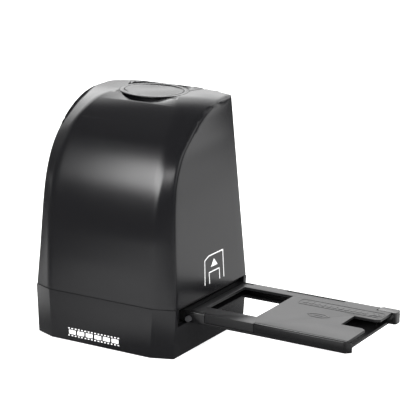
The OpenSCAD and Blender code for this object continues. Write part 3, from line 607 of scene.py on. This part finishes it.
def front_row(p, way):
    """Half a row across the front or the crown, from the middle to the middle of the side face."""
    _, crease, x, y, z = smooth_between(STATIONS, 0, min(p.y, STATIONS[-1][0]))
    middle, fold, edge = Vector((0, p.x, p.y)), Vector((crease, p.x, p.y)), Vector((x, y, z))
    lift = clamped((p.x - SWELL_FROM) / SWELL_RUN) * SWELL
    shoulder = fold.lerp(edge, SHOULDER_SHARE) + Vector((0, 0, lift))
    row = soft_row([middle, fold, shoulder, edge, side_middle(z)], (CREASE_SOFT, SHOULDER_SOFT, EDGE_SOFT))
    return crowned(row, way, crease)


def back_row(p):
    """Half a row across the back."""
    drop = BACK_DROP * clamped((p.y - DROP_FROM) / (TOP - DROP_FROM)) ** DROP_POWER
    edge = back_edge(min(p.y - drop, EDGE_TOP))
    if p.y > NARROW_FROM:
        edge.x = min(edge.x, TOP_HALF_WIDE)
    return soft_row([Vector((0, p.x, p.y)), edge, side_middle(edge.z)], (BACK_SOFT,))


def loft_rows():
    """Rows of the smooth outer form: those of the front and crown, and those of the back."""
    path = side_view()
    top = max(range(len(path)), key=lambda i: path[i].y)
    front = [front_row(p, (after - before).normalized())
             for before, p, after in zip([path[0]] + path, path[:top + 1], path[1:])]
    return front, [back_row(p) for p in path[top:]]


sheets = loft_rows()
print("rows of the loft:", [len(rows) for rows in sheets])

# %% The loft's surface
# Middle and radius of the rounding at the top corners in the front view, and from where over how far it grows
CORNER_AT, CORNER_R, CORNER_FROM, CORNER_RUN = (37.6, 126.6), 3.0, 6, 18
# A point well inside the tower, from which every face of the loft looks away
CORE = Vector((0, 5, 70)) * MM
LOFT_WELD = 0.001 * MM


def corner_rounded(p):
    """Rounds the top corners towards the back, where the crown meets the sides."""
    off = Vector((abs(p.x) - CORNER_AT[0], p.z - CORNER_AT[1]))
    if off.x <= 0 or off.y <= 0 or off.length <= CORNER_R:
        return p
    pulled = off.lerp(off * (CORNER_R / off.length), eased((p.y - CORNER_FROM) / CORNER_RUN))
    return Vector((math.copysign(CORNER_AT[0] + pulled.x, p.x), p.y, CORNER_AT[1] + pulled.y))


def sheet_between(rows, sign):
    """The points and triangles of a sheet through rows, on one side of the middle."""
    width = len(rows[0])
    verts = [corner_rounded(Vector((sign * p.x, p.y, p.z))) * MM for row in rows for p in row]
    faces = []
    for a in (i * width + j for i in range(len(rows) - 1) for j in range(width - 1)):
        quad = (a, a + 1, a + width + 1, a + width)
        halves = [quad[:3], (quad[0], quad[2], quad[3])]
        faces += halves if sign > 0 else [half[::-1] for half in halves]
    return verts, faces


def loft_surface(sheets):
    """The loft as triangles with smooth normals, for both halves."""
    verts, faces = [], []
    for rows in sheets:
        for sign in (1, -1):
            start = len(verts)
            more_verts, more_faces = sheet_between(rows, sign)
            verts += more_verts
            faces += [[start + i for i in face] for face in more_faces]
    mesh = bpy.data.meshes.new("loft")
    mesh.from_pydata([tuple(v) for v in verts], [], faces)
    bm = bmesh.new()
    bm.from_mesh(mesh)
    bpy.data.meshes.remove(mesh)
    bmesh.ops.remove_doubles(bm, verts=bm.verts, dist=LOFT_WELD)
    bm.normal_update()
    inward = [f for f in bm.faces if f.normal.dot(f.calc_center_median() - CORE) < 0]
    bmesh.ops.reverse_faces(bm, faces=inward)
    bm.normal_update()
    bm.verts.ensure_lookup_table()
    bm.faces.ensure_lookup_table()
    return bm


loft = loft_surface(sheets)
loft_tree = BVHTree.FromBMesh(loft)
print("loft faces:", len(loft.faces))

# %% Find the shell's outside
# A face is outside if it lies this near to the loft, and the two face this nearly the same way
SKIN_GAP, SKIN_FACING = 2.1 * MM, 0.8
# Near the button's opening, within this half width and above this height, all its corners must lie this near
OPENING_HALF_WIDE, OPENING_FROM, OPENING_GAP = 22.5 * MM, 118 * MM, 0.06 * MM


def on_outside(face):
    """True where a face of the solid belongs to the outside that the loft replaces."""
    middle = face.calc_center_median()
    _, normal, _, gap = loft_tree.find_nearest(middle)
    if gap > SKIN_GAP or face.normal.dot(normal) < SKIN_FACING:
        return False
    if abs(middle.x) >= OPENING_HALF_WIDE or middle.z <= OPENING_FROM:
        return True
    return all(loft_tree.find_nearest(v.co)[3] < OPENING_GAP for v in face.verts)


# %% Land points on the loft
# How far a point may travel, how far it steps back first (mm), and how much further it may go than to the
# nearest point of the loft
REACH, STEP_BACK, FURTHER, SLACK = 4 * MM, 0.01, 3, 0.2 * MM


def smooth_normal(hit):
    """The loft's normal at a point of one of its triangles, blended from the corners."""
    corners = loft.faces[hit[2]].verts
    return barycentric_transform(hit[0], *[v.co for v in corners], *[v.normal for v in corners]).normalized()


def landing(vert, mark):
    """Where a vertex lands on the loft: straight out of its own faces, so that edges land on edges."""
    way = sum((f.normal for f in vert.link_faces if f[mark]), Vector((0, 0, 0))).normalized()
    hits = [loft_tree.ray_cast(vert.co - way * s * STEP_BACK * MM, way * s, REACH) for s in (1, -1)]
    near = loft_tree.find_nearest(vert.co)
    best = min((hit for hit in hits if hit[0]), key=lambda hit: hit[3], default=near)
    return best[0] if best[3] < near[3] * FURTHER + SLACK else near[0]


def normals_on(bm, mark):
    """The loft's smooth normal at each vertex that lies on it."""
    bm.verts.index_update()
    return {v.index: smooth_normal(loft_tree.find_nearest(v.co)) for v in bm.verts
            if any(f[mark] for f in v.link_faces)}


# %% Divide the outside
# Longest edge on the outside and near its creases, the angle of a crease, and the most rounds of dividing
FINEST, NEAR_CREASE, CREASE_ANGLE, ROUNDS = 2.2 * MM, 1.0 * MM, 0.5, 8
# After landing, an edge longer than this is divided again where the loft turns more than this across it
BEND_STEP, BEND_TURN, BEND_ROUNDS = 0.5 * MM, math.radians(11), 2


def cut_in_half(bm, edges, settle=None):
    """Divides edges at their middles, moves the new points if told how, and leaves only triangles."""
    parts = bmesh.ops.subdivide_edges(bm, edges=edges, cuts=1)
    for part in parts["geom_inner"] if settle else ():
        if isinstance(part, bmesh.types.BMVert):
            part.co = settle(part.co)
    bmesh.ops.triangulate(bm, faces=[f for f in bm.faces if len(f.verts) > 3])


def divide_outside(bm, mark):
    """Divides the long edges of the outside, more finely near its creases."""
    creases = {v for e in bm.edges if len(e.link_faces) == 2 and all(f[mark] for f in e.link_faces)
               and e.calc_face_angle() > CREASE_ANGLE for v in e.verts}
    for _ in range(ROUNDS):
        long = [e for e in bm.edges if any(f[mark] for f in e.link_faces)
                and e.calc_length() > (FINEST if creases.isdisjoint(e.verts) else NEAR_CREASE)]
        if not long:
            break
        cut_in_half(bm, long)


def divide_bends(bm, mark):
    """Divides the edges across which the loft turns, and lays their new points on it."""
    normals = normals_on(bm, mark)
    bent = [e for e in bm.edges if all(f[mark] for f in e.link_faces) and e.calc_length() > BEND_STEP
            and normals[e.verts[0].index].angle(normals[e.verts[1].index], 0) > BEND_TURN]
    cut_in_half(bm, bent, settle=lambda place: loft_tree.find_nearest(place)[0])


# %% Lay the shell's outside onto the loft
# Width of the rounding at the rims of openings, the angle that makes a rim, and the reach of welding
RIM_ROUND, RIM_ANGLE, SOLID_WELD = 0.3 * MM, 0.35, 0.01 * MM
SHARP_ANGLE = math.radians(30)


def marked_copy(node):
    """A welded copy of a node, its outside faces marked and the rims of its openings rounded."""
    bm = bmesh.new()
    bm.from_mesh(frame["nodes"][node].data)
    bmesh.ops.remove_doubles(bm, verts=bm.verts, dist=SOLID_WELD)
    bm.normal_update()
    mark = bm.faces.layers.int.new("outside")
    for face in bm.faces:
        face[mark] = on_outside(face)
    rims = [e for e in bm.edges if len(e.link_faces) == 2 and e.is_convex
            and e.link_faces[0][mark] != e.link_faces[1][mark] and e.calc_face_angle() > RIM_ANGLE]
    bmesh.ops.bevel(bm, geom=rims, offset=RIM_ROUND, segments=2, profile=0.5, affect="EDGES",
                    clamp_overlap=True)
    return bm, mark


def lay_on_loft(node, name, slot, body):
    """Stands for a node: its solid, with its outside laid on the loft and shaded as smoothly."""
    bm, mark = marked_copy(node)
    divide_outside(bm, mark)
    bm.normal_update()
    landed = [(v, landing(v, mark)) for v in bm.verts if any(f[mark] for f in v.link_faces)]
    for vert, place in landed:
        vert.co = place
    for _ in range(BEND_ROUNDS):
        divide_bends(bm, mark)
    normals = normals_on(bm, mark)
    bm.faces.index_update()
    outside = {f.index for f in bm.faces if f[mark]}
    mesh = bpy.data.meshes.new(name)
    bm.to_mesh(mesh)
    bm.free()
    mesh.shade_smooth()
    for edge in mesh.edges:
        edge.use_edge_sharp = False
    mesh.set_sharp_from_angle(angle=SHARP_ANGLE)
    mesh.normals_split_custom_set([
        normals[mesh.loops[i].vertex_index] if face.index in outside else (0, 0, 0)
        for face in mesh.polygons for i in face.loop_indices])
    mesh.materials.append(FINISH[slot])
    piece = linked(name, mesh)
    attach(piece, body)
    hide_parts(node)
    return piece


tower_skin = lay_on_loft("upper_shell", "tower_skin", "shell_black", "housing")
print("tower_skin faces:", len(tower_skin.data.polygons))

# %% [markdown]
# ## Rounded moulding edges
#
# No mould has a perfectly sharp edge, and the thin highlight along a rounded edge is what tells the eye
# that a thing is real. The solids of the shells are sharp where their surfaces meet. A copy of each is
# welded, its flat regions are joined, and a Bevel modifier rounds only the edges that turn sharply enough.
# The copy then stands for the sharp node.

# %% Rounded copies
# Points closer than this join, and faces that turn less than this become one
COPY_WELD, FLAT_ANGLE = 0.02 * MM, math.radians(0.6)


def rounded_copy(node, name, width, slot, body, turn=25.0, ease=None):
    """Stands for a node: its solid, with rounded edges, and with its points eased by a function if given."""
    mesh = frame["nodes"][node].data.copy()
    mesh.name = name
    piece = linked(name, mesh)
    bm = bmesh.new()
    bm.from_mesh(mesh)
    bmesh.ops.remove_doubles(bm, verts=bm.verts, dist=COPY_WELD)
    bmesh.ops.dissolve_limit(bm, angle_limit=FLAT_ANGLE, verts=bm.verts, edges=bm.edges)
    for vert in bm.verts if ease else ():
        vert.co = ease(vert.co)
    bm.to_mesh(mesh)
    bm.free()
    mesh.shade_smooth()
    bevel = piece.modifiers.new("rounding", "BEVEL")
    bevel.width = width * MM
    bevel.segments = 4
    bevel.limit_method = "ANGLE"
    bevel.angle_limit = math.radians(turn)
    bevel.use_clamp_overlap = True
    bevel.harden_normals = True
    bevel.miter_outer = "MITER_ARC"
    mesh.materials.clear()
    mesh.materials.append(FINISH[slot])
    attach(piece, body)
    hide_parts(node)
    return piece


base_skin = rounded_copy("base_shell", "base_skin", 0.5, "base_black", "housing", turn=14)
print("base_skin faces:", len(base_skin.data.polygons))

# %% [markdown]
# ## The button in the slope of the crown
#
# The crown tilts a little forwards, and the button and the ring round it lie in that tilt. Their solids
# have level tops, because the button moves straight down. The tops of the rounded copies are leaned, and
# the parts that slide in the opening stay upright.

# %% The button and its trim
BUTTON_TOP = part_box("button_cap")[1][2]
BUTTON_MIDDLE = (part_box("button_cap")[0][1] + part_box("button_cap")[1][1]) / 2
BUTTON_RISE = 0.27 * MM
# How far below the top the lean begins, and over how much height it grows
LEAN_BELOW, LEAN_RUN = 1.5 * MM, 1.2 * MM


def in_the_slope(place):
    """Leans the top of the button and its trim with the crown, and leaves everything below the rim."""
    share = eased((place.z - (BUTTON_TOP - LEAN_BELOW)) / LEAN_RUN)
    lean = (place.y - BUTTON_MIDDLE) * math.tan(CROWN_TILT) + BUTTON_RISE
    return place + Vector((0, 0, share * lean))


trim_ring = rounded_copy("button_trim", "trim_ring", 0.35, "trim_black", "housing", 30, in_the_slope)
button_pad = rounded_copy("button_cap", "button_pad", 0.4, "cap_black", "button", 30, in_the_slope)
print("leaned copies:", trim_ring.name, button_pad.name)

# %% The tray's rails and cover
tray_rails = rounded_copy("tray_frame", "tray_rails", 0.3, "rail_black", "tray")
tray_panel = rounded_copy("tray_cover", "tray_panel", 0.25, "cover_grey", "tray")
print("copies on the tray:", tray_rails.name, tray_panel.name)

# %% [markdown]
# ## Printed signs
#
# On the real scanner these are white ink, pad-printed a few hundredths of a millimetre thick. A picture on
# the surface would need an unwrapped mesh, so each sign is a thin mesh of its own, laid on the shell point by
# point. The sign on the side shows how a slide goes in; the base carries a plain strip of film.

# %% Strokes
FINISH["white_ink"] = moulded_plastic("white_pad_printing_ink", "#ffffff", 0.55, 0.3, 0.002)
# The most that a sharp corner may lengthen a mitre is one over this
MITRE_LEAST = 0.3


def stroke(points, width):
    """Faces of a line of constant width through points, with mitred corners."""
    points = [Vector(p) for p in points]
    sides = []
    for i, p in enumerate(points):
        ways = [(b - a).normalized() for a, b in zip(points[max(0, i - 1):i + 1], points[max(1, i):i + 2])]
        across = sum((Vector((-w.y, w.x)) for w in ways), Vector((0, 0))).normalized()
        reach = width / 2 / max(MITRE_LEAST, across.dot(Vector((-ways[0].y, ways[0].x))))
        sides.append((p + across * reach, p - across * reach))
    return [(a[0], b[0], b[1], a[1]) for a, b in zip(sides, sides[1:])]


def divided(face, most):
    """A four-sided face split into strips no longer than most."""
    a, b, c, d = face
    count = max(1, math.ceil(max((b - a).length, (d - c).length) / most))
    cuts = [(a.lerp(b, i / count), d.lerp(c, i / count)) for i in range(count + 1)]
    return [(p, q, r, s) for (p, s), (q, r) in zip(cuts, cuts[1:])]


# %% Ink laid on a surface
# Height of the ink's face over the shell, and how much of that is ink
INK, INK_SHARE = 0.04, 0.9
# Points of a flat drawing closer than this join, in millimetres
DRAWN_WELD = 0.001


def laid_sheet(name, faces, place, tree, slot, body):
    """A thin piece on a surface: place turns its flat points to points near the surface, in millimetres."""
    bm = bmesh.new()
    for face in faces:
        bm.faces.new([bm.verts.new((p.x, p.y, 0)) for p in face])
    bmesh.ops.remove_doubles(bm, verts=bm.verts, dist=DRAWN_WELD)
    for vert in bm.verts:
        near, normal, _, _ = tree.find_nearest(place(vert.co) * MM)
        vert.co = near + normal * INK * MM
    bm.normal_update()
    out = tree.find_nearest(bm.verts[:][0].co)[1]
    bmesh.ops.reverse_faces(bm, faces=[f for f in bm.faces if f.normal.dot(out) < 0])
    mesh = bpy.data.meshes.new(name)
    bm.to_mesh(mesh)
    bm.free()
    piece = linked(name, mesh)
    ink = piece.modifiers.new("thickness", "SOLIDIFY")
    ink.thickness = INK * INK_SHARE * MM
    ink.offset = -1
    mesh.materials.append(FINISH[slot])
    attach(piece, body)
    return piece


# %% The slide sign on the side
# Line width and longest stretch of a line, then the outlines as places along Y and Z
LINE, LONGEST = 0.62, 2.0
SLIDE_OUTLINE = ((-4.9, 32.6), (-3.9, 46.0), (0.4, 47.7), (14.6, 47.7), (14.6, 32.6))
SLIDE_WINDOW = ((-0.2, 32.6), (-0.2, 38.6), (10.2, 38.6), (10.2, 32.6))
ARROW = ((1.9, 41.2), (8.7, 41.2), (5.3, 45.2))
slide_faces = [part for line in (SLIDE_OUTLINE, SLIDE_WINDOW) for face in stroke(line, LINE)
               for part in divided(face, LONGEST)] + [tuple(Vector(p) for p in ARROW)]
slide_sign = laid_sheet("slide_sign", slide_faces, lambda p: Vector((HALF_WIDE, p.x, p.y)), loft_tree,
                        "white_ink", "housing")
loft.free()
print("slide_sign faces:", len(slide_sign.data.polygons))

# %% [markdown]
# ## Repeated shapes
#
# A film strip is a row of frames between two rows of holes. Such rows are made with Geometry Nodes, as a
# tree whose inputs have names, so that a count or a spacing can be changed in one place.


# %% Geometry Nodes helpers
def node_tree(name, sizes):
    """A tree whose named inputs are sizes in millimetres, with its input and output nodes."""
    tree = bpy.data.node_groups.new(name, "GeometryNodeTree")
    tree.interface.new_socket("Geometry", in_out="OUTPUT", socket_type="NodeSocketGeometry")
    for label, value in sizes.items():
        kind = "NodeSocketInt" if isinstance(value, int) else "NodeSocketFloat"
        tree.interface.new_socket(label, in_out="INPUT", socket_type=kind).default_value = value
    return tree, tree.nodes.new("NodeGroupInput"), tree.nodes.new("NodeGroupOutput")


def made_by(tree, name):
    """The plain mesh that a tree makes."""
    host = linked(name, bpy.data.meshes.new(name))
    host.modifiers.new("shape", "NODES").node_group = tree
    done = bpy.data.meshes.new_from_object(host.evaluated_get(bpy.context.evaluated_depsgraph_get()))
    bpy.data.objects.remove(host)
    return done


def finish_tree(tree, parts, material, output):
    """Joins the parts, makes them real, gives them a material and sends them to the tree's output."""
    joined = tree.nodes.new("GeometryNodeJoinGeometry")
    for part in parts:
        tree.links.new(part, joined.inputs[0])
    real = add(tree, "GeometryNodeRealizeInstances", links={0: joined.outputs[0]})
    dressed = add(tree, "GeometryNodeSetMaterial", links={0: real.outputs[0]}, Material=material)
    tree.links.new(dressed.outputs[0], output.inputs[0])


# %% Rows and tiles
def row_of(tree, shape, count, step, start):
    """Copies of a shape along X."""
    line = add(tree, "GeometryNodeMeshLine", links={"Count": count})
    tree.links.new(add(tree, "ShaderNodeCombineXYZ", links={"X": step}).outputs[0], line.inputs["Offset"])
    line.inputs["Start Location"].default_value = start
    copies = add(tree, "GeometryNodeInstanceOnPoints", links={"Points": line.outputs[0], "Instance": shape})
    return copies.outputs[0]


def soft_outline(tree, width, depth, corner, steps):
    """A rectangle with round corners, as a curve."""
    edge = add(tree, "GeometryNodeCurvePrimitiveQuadrilateral", links={"Width": width, "Height": depth})
    links = {"Curve": edge.outputs[0], "Radius": corner}
    return add(tree, "GeometryNodeFilletCurve", {"mode": "POLY"}, links, Count=steps).outputs[0]


def tile(tree, width, depth, corner, thick=None):
    """A flat plate with round corners, pulled up where it has a thickness."""
    outline = soft_outline(tree, width, depth, corner, 4)
    flat = add(tree, "GeometryNodeFillCurve", {"mode": "NGONS"}, {"Curve": outline})
    if thick is None:
        return flat.outputs[0]
    top = add(tree, "GeometryNodeExtrudeMesh", links={"Mesh": flat.outputs[0], "Offset Scale": thick})
    back = add(tree, "GeometryNodeFlipFaces", links={"Mesh": flat.outputs[0]})
    both = tree.nodes.new("GeometryNodeJoinGeometry")
    tree.links.new(top.outputs["Mesh"], both.inputs[0])
    tree.links.new(back.outputs[0], both.inputs[0])
    return both.outputs[0]


# %% The strip of film on the base
# Place of the first frame, and place of the first hole and heights of the two rows of holes
FRAMES_AT = (-18.0, 5.3, 0)
HOLES_FROM, HOLE_ROWS = -20.2, (3.3, 7.3)


def film_tree():
    """A row of frames between two rows of holes, as flat tiles."""
    tree, sizes, output = node_tree("film_strip", {
        "Frames": 6, "Frame pitch": 5.55, "Frame width": 4.5, "Frame height": 2.3, "Corner": 0.35,
        "Holes": 16, "Hole pitch": 2.14, "Hole width": 1.05, "Hole height": 0.62, "Hole corner": 0.18})
    of = sizes.outputs
    frame_tile = tile(tree, of["Frame width"], of["Frame height"], of["Corner"])
    hole_tile = tile(tree, of["Hole width"], of["Hole height"], of["Hole corner"])
    rows = [row_of(tree, frame_tile, of["Frames"], of["Frame pitch"], FRAMES_AT)]
    rows += [row_of(tree, hole_tile, of["Holes"], of["Hole pitch"], (HOLES_FROM, z, 0)) for z in HOLE_ROWS]
    finish_tree(tree, rows, FINISH["white_ink"], output)
    return tree


def make_film_sign():
    """The strip as ink on the front of the base."""
    drawn = made_by(film_tree(), "film_strip")
    faces = [[drawn.vertices[i].co.copy() for i in face.vertices] for face in drawn.polygons]
    base = bmesh.new()
    base.from_mesh(base_skin.data)
    sign = laid_sheet("film_sign", faces, lambda p: Vector((p.x, -HALF_DEEP, p.y)),
                      BVHTree.FromBMesh(base), "white_ink", "housing")
    base.free()
    return sign


print("film_sign faces:", len(make_film_sign().data.polygons))

# %% [markdown]
# ## Raised marks on the tray's cover
#
# The cover carries a raised field with a row of dashes and two chevrons, which show which way the film runs,
# and a small mark in front of it. The dashes repeat, so a node tree sets them along a line. All the marks
# stand a little over a tenth of a millimetre high, as shapes cut into a mould come out.

# %% The field and its dashes
# Height of the marks, place of the first dash, middle of the field, and how flat its round rim is
MARK_HIGH, DASHES_AT, FIELD_AT, RIM_FLAT = 0.14, (91.5, 21.5, 0), (112.5, 21.5, 0), (1, 1, 0.5)


def marks_tree():
    """A row of dashes inside a rim."""
    tree, sizes, output = node_tree("cover_marks", {
        "Dashes": 11, "Dash pitch": 3.5, "Dash width": 2.3, "Dash depth": 3.4, "Corner": 0.7,
        "Height": MARK_HIGH, "Field width": 49.0, "Field depth": 7.6, "Field corner": 2.2, "Rim": 0.28})
    of = sizes.outputs
    dash = tile(tree, of["Dash width"], of["Dash depth"], of["Corner"], of["Height"])
    row = row_of(tree, dash, of["Dashes"], of["Dash pitch"], DASHES_AT)
    outline = soft_outline(tree, of["Field width"], of["Field depth"], of["Field corner"], 8)
    wire = add(tree, "GeometryNodeCurvePrimitiveCircle", links={"Radius": of["Rim"]}, Resolution=8)
    rim = add(tree, "GeometryNodeCurveToMesh", links={"Curve": outline, "Profile Curve": wire.outputs[0]})
    placed = add(tree, "GeometryNodeTransform", links={"Geometry": rim.outputs[0]},
                 Translation=FIELD_AT, Scale=RIM_FLAT)
    finish_tree(tree, [row, placed.outputs[0]], FINISH["cover_grey"], output)
    return tree


# %% Lines of the other marks
# Width of the lines, how deep they start in the cover, and their shapes as places along X and Y
MARK_LINE, MARK_SUNK = 0.8, -0.02
CHEVRONS = tuple(((x, 18.9), (x + 2.4, 21.5), (x, 24.1)) for x in (130.2, 133.0))
HEXAGON = ((101.5, 5.2), (104.5, 7.6), (110.5, 7.6), (113.5, 5.2), (110.5, 2.8), (104.5, 2.8), (101.5, 5.2))
BAR = ((105.0, 5.2), (110.0, 5.2))


def raised(faces, height):
    """Flat faces pulled up to closed low blocks."""
    bm = bmesh.new()
    for face in faces:
        bm.faces.new([bm.verts.new((p.x, p.y, MARK_SUNK)) for p in face])
    bmesh.ops.remove_doubles(bm, verts=bm.verts, dist=DRAWN_WELD)
    for face in bm.faces:
        face.normal_update()
        if face.normal.z > 0:
            face.normal_flip()
    pulled = bmesh.ops.extrude_face_region(bm, geom=bm.faces[:], use_keep_orig=True)
    for item in pulled["geom"]:
        if isinstance(item, bmesh.types.BMVert):
            item.co.z = height
    bmesh.ops.recalc_face_normals(bm, faces=bm.faces)
    return bm


def cover_marks():
    """All the marks as one piece that lies on the cover."""
    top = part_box("tray_cover")[1][2]
    mesh = made_by(marks_tree(), "cover_marks")
    lines = (*CHEVRONS, HEXAGON, BAR)
    bm = raised([face for line in lines for face in stroke(line, MARK_LINE)], MARK_HIGH)
    bm.from_mesh(mesh)
    for vert in bm.verts:
        vert.co = vert.co * MM + Vector((0, 0, top))
    bm.to_mesh(mesh)
    bm.free()
    mesh.materials.clear()
    mesh.materials.append(FINISH["cover_grey"])
    piece = linked("cover_marks", mesh)
    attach(piece, "tray")
    return piece


print("cover_marks faces:", len(cover_marks().data.polygons))
